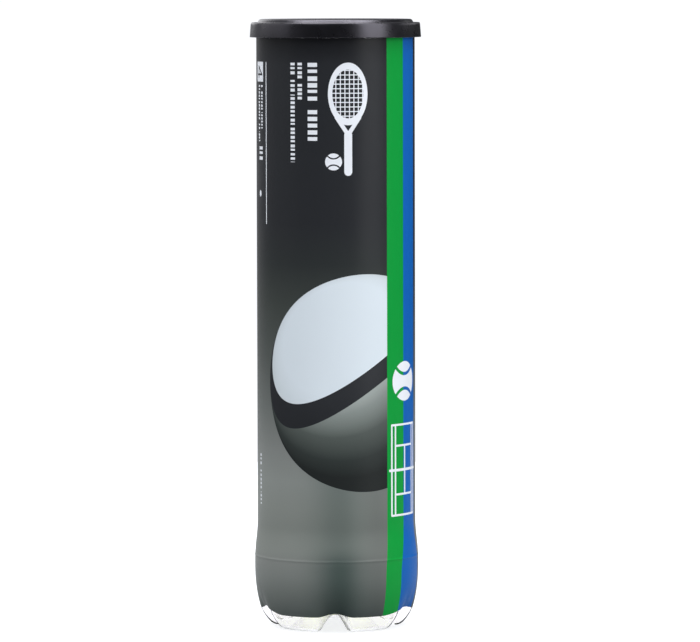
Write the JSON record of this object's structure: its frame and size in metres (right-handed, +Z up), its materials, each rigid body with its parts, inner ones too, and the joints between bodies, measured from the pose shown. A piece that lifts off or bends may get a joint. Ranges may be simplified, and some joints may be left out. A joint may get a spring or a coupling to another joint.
{
  "type": "tennis ball can",
  "caption": "Clear plastic can of tennis balls with a printed film label, five-footed base, easy-open metal end with a ring tab, and a black snap lid.",
  "frame": {"origin": "on the floor under the can's axis, at the middle of its five feet", "axes": "+Z up along the can's axis to the lid; -Y is the label's front; +X is to the right seen from the front"},
  "size_m": [0.0798, 0.0798, 0.2839],
  "materials": {
    "clear_plastic": "gloss",
    "printed_film": "satin",
    "end_metal": "satin",
    "sealing_compound": "matte",
    "black_plastic": "satin",
    "core_rubber": "matte",
    "yellow_felt": "matte",
    "seam_cement": "matte"
  },
  "bodies": {
    "can": {"can_body": "clear_plastic", "label_sleeve": "printed_film", "end_ring": "end_metal", "seam_compound": "sealing_compound"},
    "ball_1": {"ball_1_core_half_a": "core_rubber", "ball_1_core_half_b": "core_rubber", "ball_1_felt_panel_a": "yellow_felt", "ball_1_felt_panel_b": "yellow_felt", "ball_1_seam": "seam_cement"},
    "ball_2": {"ball_2_core_half_a": "core_rubber", "ball_2_core_half_b": "core_rubber", "ball_2_felt_panel_a": "yellow_felt", "ball_2_felt_panel_b": "yellow_felt", "ball_2_seam": "seam_cement"},
    "ball_3": {"ball_3_core_half_a": "core_rubber", "ball_3_core_half_b": "core_rubber", "ball_3_felt_panel_a": "yellow_felt", "ball_3_felt_panel_b": "yellow_felt", "ball_3_seam": "seam_cement"},
    "ball_4": {"ball_4_core_half_a": "core_rubber", "ball_4_core_half_b": "core_rubber", "ball_4_felt_panel_a": "yellow_felt", "ball_4_felt_panel_b": "yellow_felt", "ball_4_seam": "seam_cement"},
    "end_panel": {"tear_panel": "end_metal", "tab_island": "end_metal"},
    "tab": {"pull_tab": "end_metal"},
    "lid": {"lid": "black_plastic"}
  },
  "joints": [
    {"name": "ball_1_lift", "type": "slide", "parent": "can", "child": "ball_1", "axis": [0, 0, 1], "range_m": [0, 0.28]},
    {"name": "ball_2_lift", "type": "slide", "parent": "ball_1", "child": "ball_2", "axis": [0, 0, 1], "range_m": [0, 0.21]},
    {"name": "ball_3_lift", "type": "slide", "parent": "ball_2", "child": "ball_3", "axis": [0, 0, 1], "range_m": [0, 0.145]},
    {"name": "ball_4_lift", "type": "slide", "parent": "ball_3", "child": "ball_4", "axis": [0, 0, 1], "range_m": [0, 0.08]},
    {"name": "panel_lift", "type": "slide", "parent": "ball_4", "child": "end_panel", "axis": [0, 0, 1], "range_m": [0, 0.06]},
    {"name": "lid_lift", "type": "slide", "parent": "end_panel", "child": "lid", "axis": [0, 0, 1], "range_m": [0, 0.1]},
    {"name": "tab_hinge", "type": "hinge", "parent": "end_panel", "child": "tab", "pos_m": [0, -0.0312, 0.2775], "axis": [1, 0, 0], "range_deg": [0, 80]}
  ],
  "couplings": [
    {"joint": "tab_hinge", "follows": "lid_lift", "rad_per_m": 13.96}
  ]
}
